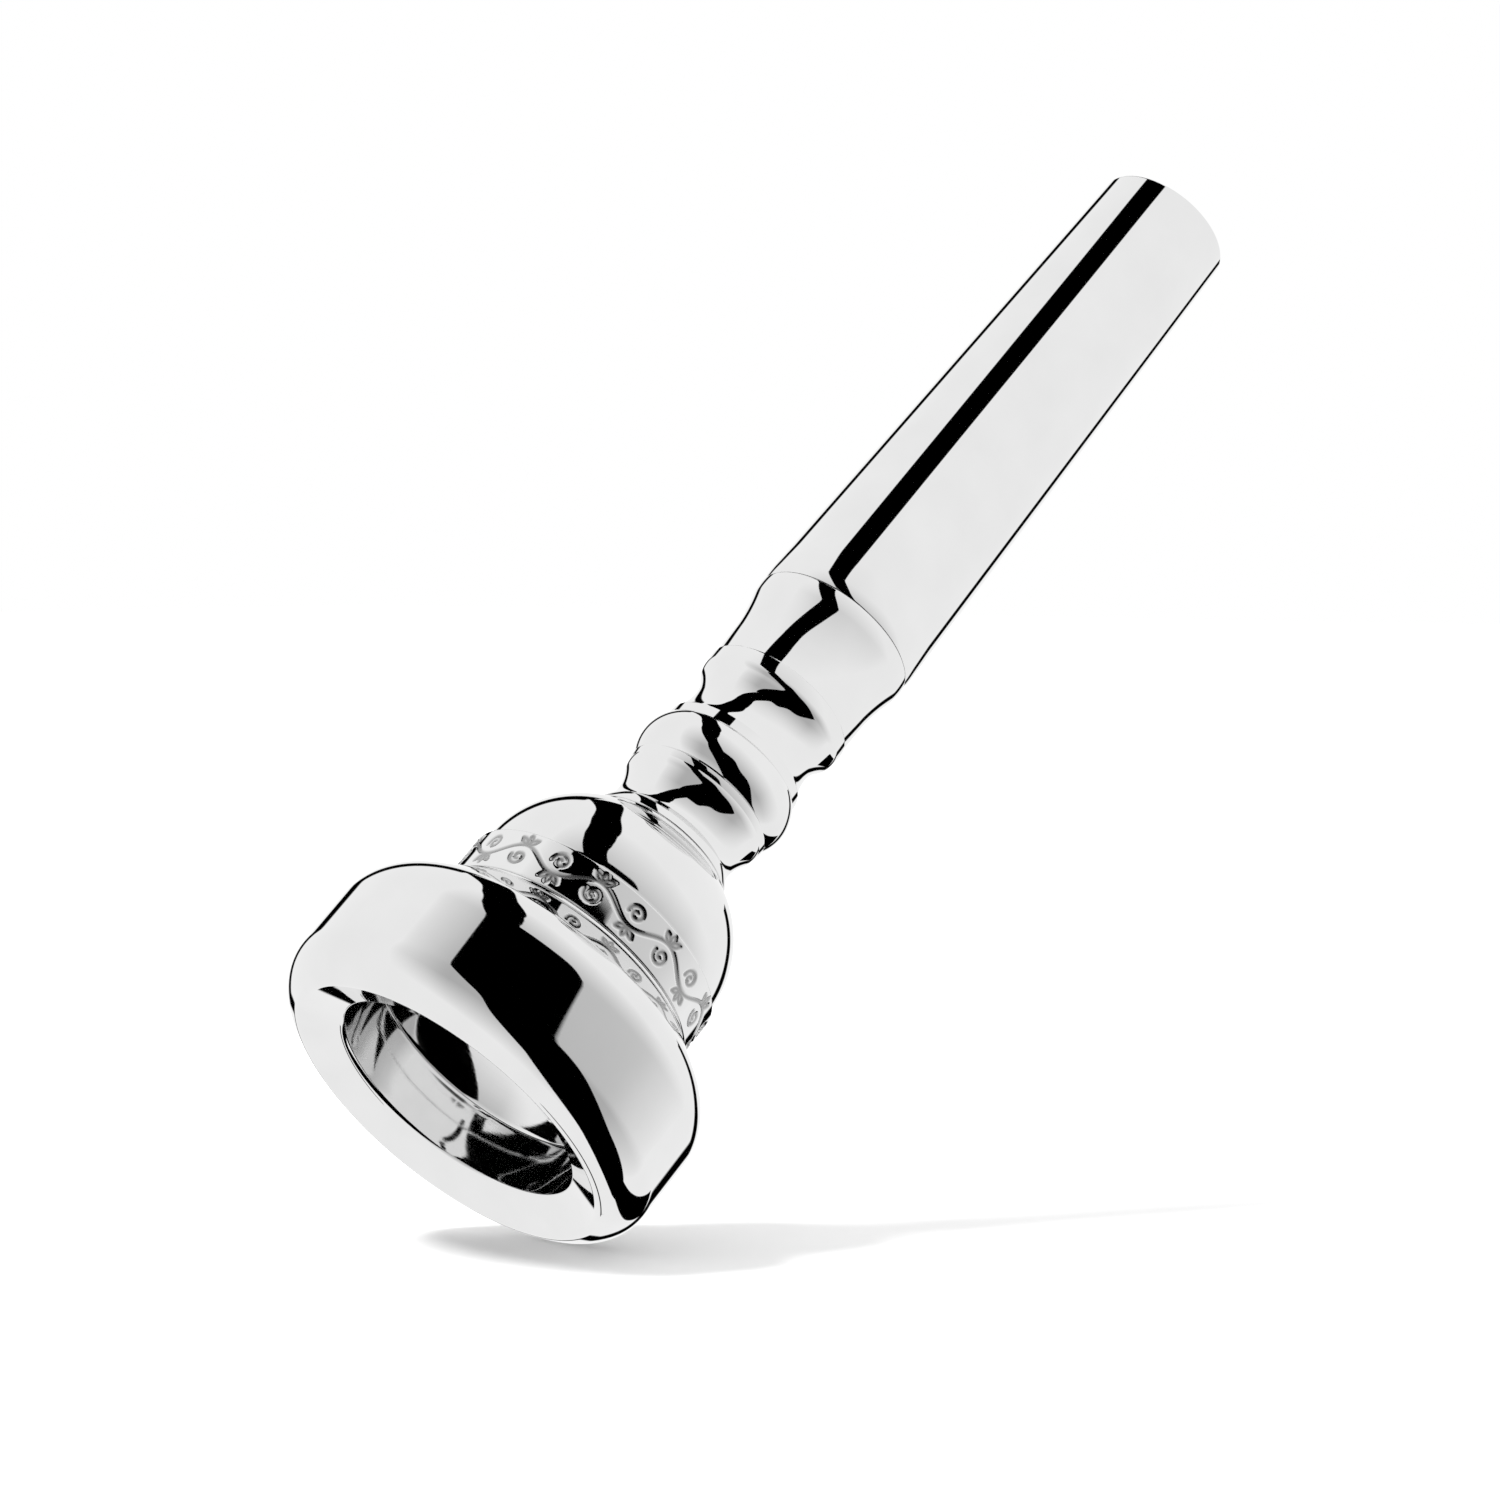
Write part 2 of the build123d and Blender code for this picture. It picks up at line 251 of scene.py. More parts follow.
def eased(points, radius):
    # every corner of more than 12 degrees is cut back by radius times tan(half the turn), but by
    # no more than a third of its sides, and gets the middle point of a parabola between the cuts
    into = points - np.roll(points, 1, axis=0)
    outOf = np.roll(points, -1, axis=0) - points
    lengthIn = np.linalg.norm(into, axis=1)
    lengthOut = np.linalg.norm(outOf, axis=1)
    into, outOf = into / lengthIn[:, None], outOf / lengthOut[:, None]
    turn = np.arccos(np.clip(np.sum(into * outOf, axis=1), -1, 1))
    cut = np.minimum(radius * np.tan(turn / 2), np.minimum(lengthIn, lengthOut) / 3)[:, None]
    before, after = points - cut * into, points + cut * outOf
    three = np.stack([before, 0.25 * before + 0.5 * points + 0.25 * after, after], axis=1)
    corner = turn > math.radians(12)
    three[~corner, 1] = points[~corner]
    keep = np.stack([corner, np.ones_like(corner), corner], axis=1)
    return three[keep]


def threadRadius(thread, angles, heights):
    # radius of a 60 degree thread: from the middle of its ridge, the flat runs half the crest's
    # width, then the radius falls by the distance over tan(30 degrees). The ridge climbs one pitch
    # a turn, and it fades in and out over a tenth of a turn.
    share = angles / (2 * math.pi)
    level = (heights - thread["low"]) / thread["pitch"] - share
    turn = np.clip(np.round(level), 0, np.floor(thread["turns"] - share))
    distance = np.abs(level - turn) * thread["pitch"]
    wound = turn + share
    fade = np.clip(np.minimum(wound, thread["turns"] - wound) / 0.1, 0, 1)
    form = thread["crest"] - np.maximum(distance - thread["flat"], 0) / math.tan(math.radians(30))
    return np.clip(form, thread["root"], thread["root"] + fade * (thread["crest"] - thread["root"]))


lathe = {
    "columns": 160,          # round the axis
    "finer": 5,              # times as many in the engraved band, an odd number
    "edgeRound": 0.05,       # mm
    "sharpAngle": 40,        # degrees from which an edge is shaded as a corner
}


def ringIndex(start, count, shift=0):
    # vertex numbers of one ring, or of the ring moved round by a step
    return start + (np.arange(count) + shift) % count


def fanStitch(coarseStart, denseStart):
    # triangles from a row to one with more columns: the first few of a column's dense steps go to
    # its own vertex, the rest to the next one, and one triangle in the middle joins the two
    ring, finer = lathe["columns"], lathe["finer"]
    here, there = ringIndex(coarseStart, ring), ringIndex(coarseStart, ring, 1)
    fans = []
    for step in range(finer):
        first = denseStart + (np.arange(ring) * finer + step) % (ring * finer)
        second = denseStart + (np.arange(ring) * finer + step + 1) % (ring * finer)
        fans.append(np.column_stack([here if step < finer // 2 else there, second, first]))
        if step == finer // 2:
            fans.append(np.column_stack([here, there, first]))
    return np.vstack(fans)


def stitched(fine, columns, starts):
    # the faces between each row and the next, and the row that each quad starts from
    quads, triangles, quadRows = [], [], []
    for low in range(len(columns)):
        high = (low + 1) % len(columns)
        if columns[low] == columns[high]:
            count = columns[low]
            quads.append(np.column_stack([
                ringIndex(starts[low], count), ringIndex(starts[low], count, 1),
                ringIndex(starts[high], count, 1), ringIndex(starts[high], count)]))
            quadRows.append(np.full(count, low))
        elif fine[low]:
            triangles.append(fanStitch(starts[high], starts[low])[:, ::-1])
        else:
            triangles.append(fanStitch(starts[low], starts[high]))
    triangles = np.vstack(triangles) if triangles else np.zeros((0, 3), int)
    return np.vstack(quads), triangles, np.concatenate(quadRows)


def meshOf(name, vertices, quads, triangles):
    corners = np.concatenate([quads.ravel(), triangles.ravel()])
    totals = np.concatenate([np.full(len(quads), 4), np.full(len(triangles), 3)])
    mesh = bpy.data.meshes.new(name)
    mesh.vertices.add(len(vertices))
    mesh.vertices.foreach_set("co", vertices.ravel())
    mesh.loops.add(len(corners))
    mesh.loops.foreach_set("vertex_index", corners.astype(np.int32))
    mesh.polygons.add(len(totals))
    mesh.polygons.foreach_set(
        "loop_start", np.concatenate([[0], np.cumsum(totals)[:-1]]).astype(np.int32))
    return mesh


def turned(name, outline, material, thread=(), engraving=None, bowl=None):
    # the outline carried round the axis: x = r cos(angle), y = r sin(angle), z = height. Rows of the
    # engraved band have five times the columns, and a fan of triangles joins them to their
    # neighbours. Rows of the bowl take the turned finish.
    rows = len(outline)
    fine = engraving["rows"](outline) if engraving else np.zeros(rows, bool)
    columns = np.where(fine, lathe["columns"] * lathe["finer"], lathe["columns"])
    starts = np.concatenate([[0], np.cumsum(columns)[:-1]])
    row = np.repeat(np.arange(rows), columns)
    angles = 2 * math.pi * (np.arange(columns.sum()) - starts[row]) / columns[row]
    radius, height = outline[row, 0], outline[row, 1]
    for part in thread:
        worked = part["rows"](outline)[row]
        cut = threadRadius(part, angles[worked], height[worked])
        radius[worked] = np.maximum(radius[worked], cut)
    # graved is how far down an engraved cut a point lies, and the plate's material darkens the colour
    # there as painted shade
    graved = np.zeros(len(row))
    if engraving:
        cut = fine[row]
        radius[cut] -= engraving["depth"](angles[cut], height[cut])
        graved[cut] = np.clip((outline[row, 0] - radius)[cut] / frieze["depth"], 0, 1)
    vertices = np.column_stack([radius * np.cos(angles), radius * np.sin(angles), height]) * mm
    quads, triangles, quadRows = stitched(fine, columns, starts)
    mesh = meshOf(name, vertices, quads, triangles)
    if engraving:
        mesh.attributes.new("graved", "FLOAT", "POINT").data.foreach_set("value", graved)
    mesh.materials.append(material)
    if bowl:
        mesh.materials.append(turnedSilver)
        slots = np.zeros(len(quads) + len(triangles), np.int32)
        slots[:len(quads)] = bowl(outline)[quadRows]
        mesh.polygons.foreach_set("material_index", slots)
    mesh.update(calc_edges=True)
    mesh.validate()
    mesh.shade_smooth()
    mesh.set_sharp_from_angle(angle=math.radians(lathe["sharpAngle"]))
    piece = bpy.data.objects.new(name, mesh)
    scene.collection.objects.link(piece)
    print(name, "turned,", len(quads) * 2 + len(triangles), "triangles")
    return piece


def place(piece, node):
    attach(piece, node)
    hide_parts(node)


# Sizes that more than one piece shares, in millimetres. seat is the gap between faces that meet,
# and gap is a screw's clearance in its groove.
fit = {
    "bowlRadius": 8.88, "bowlZ": 2.1, "lipZ": 5.0, "backZ": 12.7, "bandRadius": 9.5,
    "throat": 1.83, "noseZ": 15.8, "cupEnd": 23.15, "seat": 0.03, "pitch": 0.75,
    "crestFlat": 0.05, "grooveFlat": 0.0847, "depth": 0.42, "gap": 0.06,
}


def bowlAngle(height):
    # where on the bowl's sphere a height lies, in degrees above its middle
    return math.degrees(math.asin((height - fit["bowlZ"]) / fit["bowlRadius"]))


bowlZone = {"slack": 0.02, "lowest": 1.5, "shoulderRadius": 4.9, "shoulderZ": (8, 13)}


def bowlRows(outline):
    # rows on the bowl's sphere or in the throat's shoulder, below the throat itself
    radius, height = outline[:, 0], outline[:, 1]
    reach = np.hypot(radius, height - fit["bowlZ"])
    onSphere = (np.abs(reach - fit["bowlRadius"]) < bowlZone["slack"]) & (height > bowlZone["lowest"])
    low, high = bowlZone["shoulderZ"]
    return onSphere | ((radius < bowlZone["shoulderRadius"]) & (height > low) & (height < high))


def toolMarks(points, seed):
    # the bowl's rows move in or out by up to half a micron or so, as a form tool leaves them
    marks = np.random.default_rng(seed).normal(0, 0.00045, len(points))
    return points + marks[:, None] * np.column_stack([np.ones(len(points)), np.zeros(len(points))])


rimShape = {
    "screw": 9.2, "relief": 9.32, "land": 9.27, "gland": 10.09, "glandLow": 9.55,
    "glandHigh": 10.45, "radius": 13.9, "biteLow": 1.55, "reliefTop": 5.4, "threads": (5.51, 9.08),
    "landLow": 9.17, "backEdge": 9.470, "side": (6.8, 3.1),
    "faceEnds": (-58.1, -112.3),  # degrees where the face's arc meets its neighbours
}


def rimOutline():
    bore = rimShape["screw"] - fit["depth"] + fit["gap"]
    land, gland = rimShape["land"], rimShape["gland"]
    threadLow, threadHigh = rimShape["threads"]
    sideTop, sideBottom = rimShape["side"]
    outer, inner = rimShape["faceEnds"]
    bowl = arc((0, fit["bowlZ"]), fit["bowlRadius"],
               bowlAngle(rimShape["biteLow"]), bowlAngle(fit["lipZ"]))
    return eased(joined(
        toolMarks(bowl, 3),
        (rimShape["relief"], fit["lipZ"]), (rimShape["relief"], rimShape["reliefTop"]),
        lineUp((bore, threadLow), (bore, threadHigh), 0.06),
        (land, rimShape["landLow"]), (land, rimShape["glandLow"]), (gland, rimShape["glandLow"]),
        (gland, rimShape["glandHigh"]), (land, rimShape["glandHigh"]), (land, fit["backZ"]),
        (rimShape["backEdge"], fit["backZ"]),
        arc((10.1, 12.81), 0.6, 198.4, 231),        # hollow at the band
        arc((9.9, 7.05), 4.0, 51, 0),               # back
        lineUp((rimShape["radius"], sideTop), (rimShape["radius"], sideBottom), 0.5),
        arc((11.05, 2.855), 2.85, 0, outer),        # outer edge of the face
        arc((11.68, 0.62), 0.62, outer, inner),     # face
        arc((9.352, 1.445), 0.5, inner, -170),      # bite
    ), lathe["edgeRound"])


rimThread = {
    "low": 5.35, "pitch": fit["pitch"], "turns": 5.35, "crest": 9.26, "flat": fit["grooveFlat"],
    "root": 8.84,
    "rows": lambda line: (np.abs(line[:, 0] - 8.84) < 0.01) & (line[:, 1] > 5.4) & (line[:, 1] < 9.2),
}
rim = turned("screwRim", rimOutline(), buffedSilver, thread=(rimThread,), bowl=bowlRows)
place(rim, "rim")

cupShape = {
    "lip": 8.7, "screw": 9.2, "bevel": 0.08, "bandTop": 16.0, "nose": 2.95, "relief": 3.62,
    "stubBore": 3.14, "endRadius": 5.38, "lipTop": 5.35, "threads": (5.45, 9.2), "shoulder": 9.4,
    "throatRound": 3.0, "tapMouth": 22.5, "tap": (22.38, 17.58), "reliefZ": (17.5, 16.95),
}
frieze = {
    "motifs": 10,            # vine motifs round the band
    "wave": 0.58,            # how far the vine swings, mm
    "stroke": 0.19,          # half width of the graver's cut, mm
    "depth": 0.09,           # mm
    "middle": 14.4,          # height on the mouthpiece, mm
    "curl": (168, 470),      # degrees where a spiral starts and how far it turns
    "curlRadius": 0.62,
    "curlShrink": 0.80,      # share of its radius that a spiral loses
    "curlDrop": 0.42,
    "leaves": {38: 0.74, 90: 0.62, 142: 0.74},  # degrees and length of each leaf
    "leafGap": 0.12,
    "leafBulge": 0.14,
}


def vinePoints(length):
    # one motif: a sine wave for the stem, a shrinking spiral in each hollow of the wave, and three
    # pointed leaves outside each crest, each leaf being two shallow arcs
    along = np.linspace(0, 1, 160)
    stem = np.column_stack([along * length, frieze["wave"] * np.sin(2 * math.pi * along)])
    start, sweep = frieze["curl"]
    angles = math.radians(start) + along * math.radians(sweep)
    reach = frieze["curlRadius"] * (1 - frieze["curlShrink"] * along)
    curl = np.column_stack([
        length / 4 + reach * np.cos(angles), -frieze["curlDrop"] + reach * np.sin(angles)])
    parts = [curl]
    for lean, size in frieze["leaves"].items():
        tip = np.array([math.cos(math.radians(lean)), math.sin(math.radians(lean))])
        side = np.array([-tip[1], tip[0]])
        root = np.array([length / 4, frieze["wave"] + 0.02])
        for bulge in (-frieze["leafBulge"], frieze["leafBulge"]):
            parts.append(root + (frieze["leafGap"] + along * size)[:, None] * tip
                         + (bulge * np.sin(math.pi * along))[:, None] * side)
    upper = np.vstack(parts)
    lower = upper * (1, -1) + (length / 2, 0)
    return np.vstack([stem, upper, lower])


def friezeDepth(angles, heights):
    # depth of the cut: full at the stroke's middle, falling with the square of the distance from it
    length = 2 * math.pi * fit["bandRadius"] / frieze["motifs"]
    strokes = vinePoints(length)
    strokes = np.vstack([strokes, strokes + (length, 0), strokes - (length, 0)])
    along = (angles * fit["bandRadius"]) % length
    up = heights - frieze["middle"]
    nearest = np.zeros(len(along))
    batch = 4000             # points measured at a time, to save memory
    for first in range(0, len(along), batch):
        part = slice(first, first + batch)
        gaps = np.hypot(along[part, None] - strokes[None, :, 0], up[part, None] - strokes[None, :, 1])
        nearest[part] = gaps.min(axis=1)
    return frieze["depth"] * np.clip(1 - (nearest / frieze["stroke"]) ** 2, 0, 1)


def cupOutline():
    bevel, seat = cupShape["bevel"], fit["seat"]
    lip = fit["lipZ"] + seat
    core = cupShape["screw"] - fit["depth"]
    reach = fit["bowlRadius"] + cupShape["throatRound"]
    shoulderR = fit["throat"] + cupShape["throatRound"]
    shoulderZ = fit["bowlZ"] + math.sqrt(reach ** 2 - shoulderR ** 2)
    meet = math.degrees(math.atan2(fit["bowlZ"] - shoulderZ, -shoulderR)) % 360
    threadLow, threadHigh = cupShape["threads"]
    tapTop, tapBottom = cupShape["tap"]
    reliefTop, reliefBottom = cupShape["reliefZ"]
    return eased(joined(
        arc((shoulderR, shoulderZ), cupShape["throatRound"], 180, meet),
        toolMarks(arc((0, fit["bowlZ"]), fit["bowlRadius"], meet - 180, bowlAngle(lip)), 5),
        (cupShape["lip"] - bevel, lip), (cupShape["lip"], lip + bevel),
        (cupShape["lip"], cupShape["lipTop"]),
        lineUp((core, threadLow), (core, threadHigh), 0.06),
        (cupShape["screw"], cupShape["shoulder"]), (cupShape["screw"], fit["backZ"] + seat),
        (fit["bandRadius"] - bevel, fit["backZ"] + seat),
        lineUp((fit["bandRadius"], fit["backZ"] + seat + bevel),
               (fit["bandRadius"], cupShape["bandTop"] - bevel), 0.07),
        (fit["bandRadius"] - bevel, cupShape["bandTop"]),
        arc((2.1, 16.8), 7.0, -6, 61.5),            # ball
        (cupShape["endRadius"], fit["cupEnd"]), (cupShape["relief"], fit["cupEnd"]),
        (cupShape["relief"], cupShape["tapMouth"]),
        lineUp((cupShape["relief"], cupShape["tapMouth"]), (cupShape["stubBore"], tapTop), 0.03),
        lineUp((cupShape["stubBore"], tapTop), (cupShape["stubBore"], tapBottom), 0.06),
        (cupShape["relief"], reliefTop), (cupShape["relief"], reliefBottom),
        (cupShape["nose"], reliefBottom), (cupShape["nose"], fit["noseZ"]),
        (fit["throat"], fit["noseZ"]),
    ), lathe["edgeRound"])


cupThread = {
    "low": 6.1, "pitch": fit["pitch"], "turns": 3.6, "crest": 9.2, "flat": fit["crestFlat"],
    "root": 8.78,
    "rows": lambda line: (np.abs(line[:, 0] - 8.78) < 0.01) & (line[:, 1] > 5.4) & (line[:, 1] < 9.3),
}
cupTap = {
    "low": 17.35, "pitch": fit["pitch"], "turns": 8.2, "crest": 3.56, "flat": fit["grooveFlat"],
    "root": 3.14,
    "rows": lambda line: (line[:, 0] < 3.63) & (line[:, 1] > 17.4) & (line[:, 1] < 22.55),
}
cupBand = {
    "rows": lambda line: (np.abs(line[:, 0] - 9.5) < 1e-6) & (line[:, 1] > 12.86) & (line[:, 1] < 15.9),
    "depth": friezeDepth,
}
cup = turned("bowlCup", cupOutline(), buffedSilver, thread=(cupThread, cupTap), engraving=cupBand,
             bowl=bowlRows)
place(cup, "cup")

stem = {
    "nose": 2.85, "gland": 2.30, "glandLow": 16.08, "glandHigh": 16.72, "core": 3.08,
    "screw": 3.55, "threads": (17.6, 22.5), "tail": 4.40, "tailEnd": 84.8, "bore": 3.95,
    "bevel": 0.08,
}
waist = {
    "neck": 4.62, "lowNeckZ": 25.1, "highNeckZ": 34.1,
    "share": 0.75,           # of an ogee that lies in the arc nearer the cup
    "collarTop": (5.0, 24.0), "lowRing": (5.25, 27.45), "lowRingTop": (5.38, 27.92),
    "bead": (3.18, 29.75), "beadRadius": 2.6, "beadTop": (5.18, 32.05),
    "highRing": (5.40, 36.35), "highRingTop": (5.46, 37.15),
    "flareFoot": (5.38, 39.2), "flareTop": (5.93, 43.65), "sleeveSeat": 43.75,
}


def backboreOutline():
    bevel = stem["bevel"]
    collar = fit["cupEnd"] + fit["seat"]
    bead = arc(waist["bead"], waist["beadRadius"], -42, 33)
    lowNeck, highNeck = (waist["neck"], waist["lowNeckZ"]), (waist["neck"], waist["highNeckZ"])
    threadLow, threadHigh = stem["threads"]
    return eased(joined(
        (fit["throat"], fit["noseZ"] + fit["seat"]),
        (stem["nose"] - bevel, fit["noseZ"] + fit["seat"]),
        (stem["nose"], fit["noseZ"] + fit["seat"] + bevel), (stem["nose"], stem["glandLow"]),
        (stem["gland"], stem["glandLow"]), (stem["gland"], stem["glandHigh"]),
        (stem["nose"], stem["glandHigh"]), (stem["nose"], 17.4),
        lineUp((stem["core"], threadLow), (stem["core"], threadHigh), 0.06),
        (stem["screw"], 22.6), (stem["screw"], collar),
        (5.30, collar), (5.36, collar + bevel),
        hollow(lowNeck, waist["collarTop"])[::-1],
        ogee(lowNeck, waist["lowRing"], waist["share"]),
        waist["lowRingTop"], (bead[0, 0], 28.0),
        bead,
        (bead[-1, 0] - 0.12, bead[-1, 1] + 0.12),
        hollow(highNeck, waist["beadTop"])[::-1],
        ogee(highNeck, waist["highRing"], waist["share"]),
        waist["highRingTop"], (5.36, 37.23),
        ogee(waist["flareFoot"], waist["flareTop"], waist["share"]),
        (5.85, waist["sleeveSeat"]), (stem["tail"], waist["sleeveSeat"]),
        lineUp((stem["tail"], 45.0), (stem["tail"], stem["tailEnd"]), 3.0),
        ogee((fit["throat"], 18.5), (stem["bore"], stem["tailEnd"]), 0.35)[::-1],
    ), lathe["edgeRound"])


stemThread = {
    "low": 18.1, "pitch": fit["pitch"], "turns": 5.0, "crest": 3.5, "flat": fit["crestFlat"],
    "root": 3.08,
    "rows": lambda line: (np.abs(line[:, 0] - 3.08) < 0.01) & (line[:, 1] > 17.5) & (line[:, 1] < 22.6),
}
backbore = turned("turnedBackbore", backboreOutline(), buffedSilver, thread=(stemThread,))
place(backbore, "backbore")

sleeveShape = {"bore": 4.42, "low": 43.78, "wideZ": 44.58, "wide": 5.964, "end": 4.85, "top": 85.1,
               "endRound": 0.15}


def sleeveOutline():
    top, rounding = sleeveShape["top"], sleeveShape["endRound"]
    return eased(joined(
        lineUp((sleeveShape["bore"], top), (sleeveShape["bore"], sleeveShape["low"]), 3.0),
        (5.85, sleeveShape["low"]),
        lineUp((sleeveShape["wide"], sleeveShape["wideZ"]), (sleeveShape["end"], top - rounding), 2.0),
        arc((sleeveShape["end"] - rounding, top - rounding), rounding, 0, 90),
    ), lathe["edgeRound"])


sleeve = turned("taperedSleeve", sleeveOutline(), buffedSilver)
place(sleeve, "shank_sleeve")


def sealOutline(centreRadius, centreZ, section):
    # a circle with the thin line that the two halves of the mould leave, at 45 degrees
    angles = np.linspace(0, 2 * math.pi, 49)[:-1]
    flash = 0.012            # height of the line, mm
    line = flash * np.exp(-((np.mod(angles - math.pi / 4, math.pi) - math.pi / 2) / 0.07) ** 2)
    reach = section - flash + line
    return np.column_stack([centreRadius + reach * np.cos(angles), centreZ + reach * np.sin(angles)])


rimSeal = turned("rimSealRing", sealOutline(9.64, 10.0, 0.43), nitrile)
place(rimSeal, "rim_seal")
stemSeal = turned("backboreSealRing", sealOutline(2.62, 16.4, 0.30), nitrile)
place(stemSeal, "backbore_seal")
print("pieces placed")

studio = {
    "floorTilt": 2.6,        # degrees between the leaning floor and the line of sight
    "leanReach": 1.5,        # half the leaning floor's width, m
    "standReach": 3.0,       # half the standing floor's, m
    "standDrop": 0.00002,    # the standing floor's gap below the face, m
}
scene.view_settings.view_transform = "Standard"
world = bpy.data.worlds.new("whiteStudio")
world.use_nodes = True
world.node_tree.nodes["Background"].inputs["Color"].default_value = (1, 1, 1, 1)
world.node_tree.nodes["Background"].inputs["Strength"].default_value = 1.0
scene.world = world


def floorMaterial():
    # white paper that shows from above only: its back is clear
    material, tree, output = newMaterial("whitePaperFloor")
    paper = addNode(tree, "ShaderNodeBsdfDiffuse", links={"Color": (1, 1, 1, 1)})
    clear = addNode(tree, "ShaderNodeBsdfTransparent")
    side = addNode(tree, "ShaderNodeNewGeometry").outputs["Backfacing"]
    shown = addNode(tree, "ShaderNodeMixShader", links={
        0: side, 1: paper.outputs[0], 2: clear.outputs[0]})
    tree.links.new(shown.outputs[0], output.inputs["Surface"])
    return material


def cardMaterial():
    # black where the UV map's first number is 1 and clear where it is 0
    material, tree, output = newMaterial("blackCard")
    across = addNode(tree, "ShaderNodeUVMap", {"uv_map": "card"}).outputs["UV"]
    parts = addNode(tree, "ShaderNodeSeparateXYZ", links={0: across})
    black = addNode(tree, "ShaderNodeEmission", links={"Color": (0, 0, 0, 1), "Strength": 0.0})
    clear = addNode(tree, "ShaderNodeBsdfTransparent")
    shown = addNode(tree, "ShaderNodeMixShader", links={
        0: parts.outputs[0], 1: clear.outputs[0], 2: black.outputs[0]})
    tree.links.new(shown.outputs[0], output.inputs["Surface"])
    return material


def quadGrid(name, points, material, uv=None):
    # a sheet of quads through a grid of points, rows by columns
    high, wide = points.shape[:2]
    index = np.arange(high * wide).reshape(high, wide)
    faces = np.stack([index[:-1, :-1], index[:-1, 1:], index[1:, 1:], index[1:, :-1]], axis=-1)
    mesh = bpy.data.meshes.new(name)
    mesh.from_pydata(points.reshape(-1, 3).tolist(), [], faces.reshape(-1, 4).tolist())
    if uv is not None:
        layer = mesh.uv_layers.new(name="card")
        loopVertices = np.zeros(len(mesh.loops), np.int32)
        mesh.loops.foreach_get("vertex_index", loopVertices)
        layer.data.foreach_set("uv", uv.reshape(-1, 2)[loopVertices].ravel())
    mesh.materials.append(material)
    sheet = bpy.data.objects.new(name, mesh)
    scene.collection.objects.link(sheet)
    return sheet


def floorSheet(name, centre, normal, size):
    normal = Vector(normal).normalized()
    side = normal.orthogonal().normalized()
    front = normal.cross(side)
    spread = np.linspace(-size, size, 2)
    points = (np.array(centre) + spread[None, :, None] * np.array(side)
              + spread[:, None, None] * np.array(front))
    sheet = quadGrid(name, points, floorMaterial())
    sheet.visible_glossy = False
    sheet.visible_diffuse = False
    sheet.visible_shadow = False
    return sheet


# the leaning floor touches the rim where the mouthpiece lies on it in the main view
tilt = math.radians(studio["floorTilt"])
leanNormal = Vector(shot["up"]) * math.cos(tilt) + Vector(shot["back"]) * math.sin(tilt)
rimVertices = np.zeros(len(rim.data.vertices) * 3)
rim.data.vertices.foreach_get("co", rimVertices)
rimVertices = rimVertices.reshape(-1, 3)
touch = rimVertices[np.argmin(rimVertices @ np.array(leanNormal))]
floorSheet("leaningFloor", touch, leanNormal, studio["leanReach"])
floorSheet("standingFloor", (0, 0, -studio["standDrop"]), (0, 0, 1), studio["standReach"])

# Black cards round the mouthpiece, each on a sphere of its own. A strip's stations are the azimuth,
# the height and the half width in degrees along its middle. A patch's stations are the azimuth, and
# the heights of its lower and upper edge. fade is the share of the half width over which each side
# turns clear. The halo is a grey card, as dark as strength says, and its two ends turn clear as well,
# over the share of half its length that ends gives.
cards = {
    "longFlag": {
        "centre": (0, 0, 0.03), "reach": 0.23, "fade": 0.06,
        "strip": [(120, 50, 5), (135, 58, 6), (160, 62, 6), (182, 60, 7), (197, 56, 9), (207, 52, 10),
                  (213, 48, 10.7), (216, 44, 10.4), (220.5, 38, 11.4), (223, 34, 11.0),
                  (225, 30.5, 11.0), (226.5, 26.5, 10.3), (232, 18, 9), (243, 6, 9.5),
                  (252, -3, 8), (261, -13, 12), (268, -22, 14), (280, -34, 12), (298, -42, 11),
                  (325, -47, 11), (358, -47, 11), (380, -42, 10), (396, -30, 10), (403, -12, 10),
                  (407, 0, 9), (414, 12, 7)],
    },
    "leftEdge": {
        "centre": (0, 0, 0.03), "reach": 0.24, "fade": 0.3,
        "strip": [(88, -12, 4), (100, -9, 4), (108, -2, 4.5), (113, 6, 5), (117, 14, 6),
                  (121, 22, 6), (124, 30, 6.5), (125, 40, 6.5), (126, 50, 7)],
    },
    "rightEdge": {
        "centre": (0, 0, 0.03), "reach": 0.24, "fade": 0.3,
        "strip": [(56, 48, 5), (52, 38, 6), (50, 30, 6), (54, 22, 7), (61, 14, 7), (65, 4, 6),
                  (69, -5, 5), (77, -11, 4.5), (88, -12, 4)],
    },
    "biteLine": {
        "centre": (0, 0, 0.03), "reach": 0.22, "fade": 0.3,
        "strip": [(61, -27, 3), (58, -36, 3.5), (51, -47, 4.5), (46, -57, 4.5), (44, -66, 4.5),
                  (48, -71, 3)],
    },
    "halo": {
        "centre": (0, 0, 0.007), "reach": 0.064, "fade": 0.8, "strength": 0.5, "ends": 0.5,
        "patch": [(195, -30, 50), (215, -50, 55), (235, -60, 60), (262, -66, 60), (290, -68, 55),
                  (320, -66, 50), (350, -60, 40), (375, -50, 30)],
    },
    "nearFlag": {
        "centre": (0, 0, 0.007), "reach": 0.06, "fade": 0.05,
        "patch": [(234, 26, 27), (239, 13, 27), (245, 5, 27), (252, -5, 27), (263, -21, 27),
                  (274, -34, 27), (280, -40, 20), (289, -47, 13), (297, -51, 13), (308, -55, 8),
                  (321, -57, -6), (336, -57, -17), (349, -55, -19), (373, -52, -22), (389, -43, -25),
                  (397, -32, -31)],
    },
}


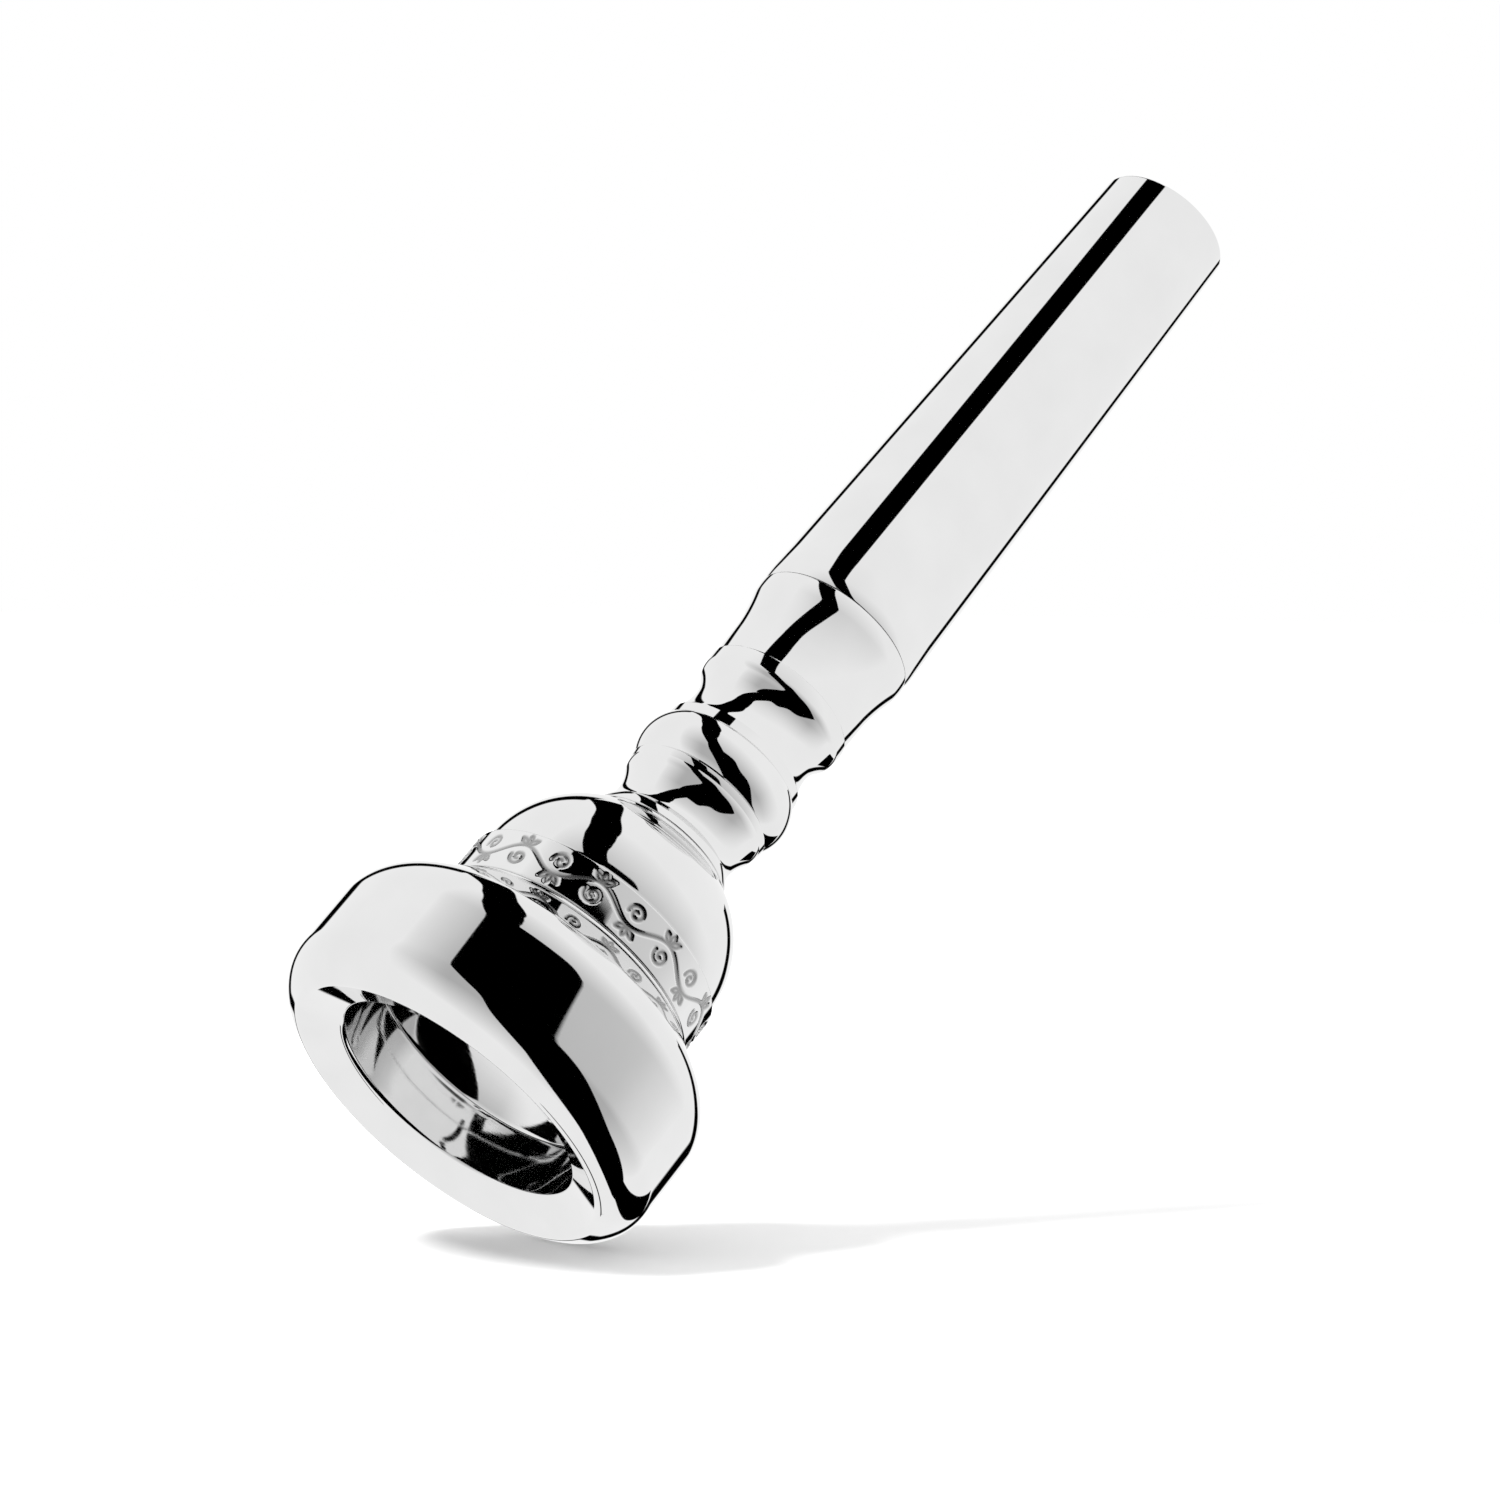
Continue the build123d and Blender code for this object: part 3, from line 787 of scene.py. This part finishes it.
def between(stations, steps):
    # the stations' columns in radians, with evenly spaced values between each two of them, each the
    # mean of those around it so that the corners are rounded
    stations = np.radians(np.array(stations, float))
    knots = np.linspace(0, len(stations) - 1, steps * (len(stations) - 1) + 1)
    values = [np.interp(knots, np.arange(len(stations)), column) for column in stations.T]
    mean = np.ones(steps + 1) / (steps + 1)
    return [np.convolve(np.pad(value, steps // 2, mode="edge"), mean, "valid") for value in values]


def outwards(azimuth, rise):
    return np.stack([
        np.cos(rise) * np.cos(azimuth), np.cos(rise) * np.sin(azimuth), np.sin(rise)], axis=-1)


smoothing = 9                # stations that a strip's run is averaged over


def cardDirections(card, shares):
    # a patch's rows run from its lower to its upper edge. A strip is widened square to its smoothed
    # run: across = run x outward.
    if "patch" in card:
        azimuth, lower, upper = between(card["patch"], 6)
        rise = (lower + upper)[:, None] / 2 + (upper - lower)[:, None] / 2 * shares
        return outwards(np.broadcast_to(azimuth[:, None], rise.shape), rise)
    azimuth, rise, half = between(card["strip"], 12)
    middle = outwards(azimuth, rise)
    side = smoothing // 2
    run = np.pad(np.gradient(middle, axis=0), ((side, side), (0, 0)), mode="edge")
    mean = np.ones(smoothing) / smoothing
    run = np.column_stack([np.convolve(run[:, axis], mean, "valid") for axis in range(3)])
    across = np.cross(run, middle)
    across /= np.linalg.norm(across, axis=1)[:, None]
    directions = middle[:, None, :] + np.tan(half[:, None] * shares)[:, :, None] * across[:, None, :]
    return directions / np.linalg.norm(directions, axis=2)[:, :, None]


def blackCard(name, card):
    fade = card["fade"]
    shares = np.sort([-1, fade - 1, -0.5, 0, 0.5, 1 - fade, 1])[None, :]
    points = np.array(card["centre"]) + card["reach"] * cardDirections(card, shares)
    strength = np.clip((1 - np.abs(shares)) / fade, 0, 1) * np.ones((len(points), 1))
    if "ends" in card:
        along = np.linspace(-1, 1, len(points))[:, None]
        strength *= np.clip((1 - np.abs(along)) / card["ends"], 0, 1) * card["strength"]
    sheet = quadGrid(name, points, cardMaterial(), np.stack([strength, strength], axis=-1))
    sheet.visible_camera = False
    sheet.visible_diffuse = False
    sheet.visible_shadow = False


for cardName, cardShape in cards.items():
    blackCard(cardName, cardShape)

# A soft lamp overhead and a little to the left, for the shadow on the floor. Polished metal doesn't
# show it, because it stands for a wide white ceiling.
lamp = {"towards": (-0.50, 0.86, 0.08), "angle": 15, "strength": 2.6}
lampData = bpy.data.lights.new("overheadLamp", "SUN")
lampData.energy = lamp["strength"]
lampData.angle = math.radians(lamp["angle"])
overhead = bpy.data.objects.new("overheadLamp", lampData)
towards = turnMatrix @ Vector(lamp["towards"])
overhead.rotation_euler = towards.to_track_quat("Z", "Y").to_euler()
overhead.visible_glossy = False
scene.collection.objects.link(overhead)
print("studio set")
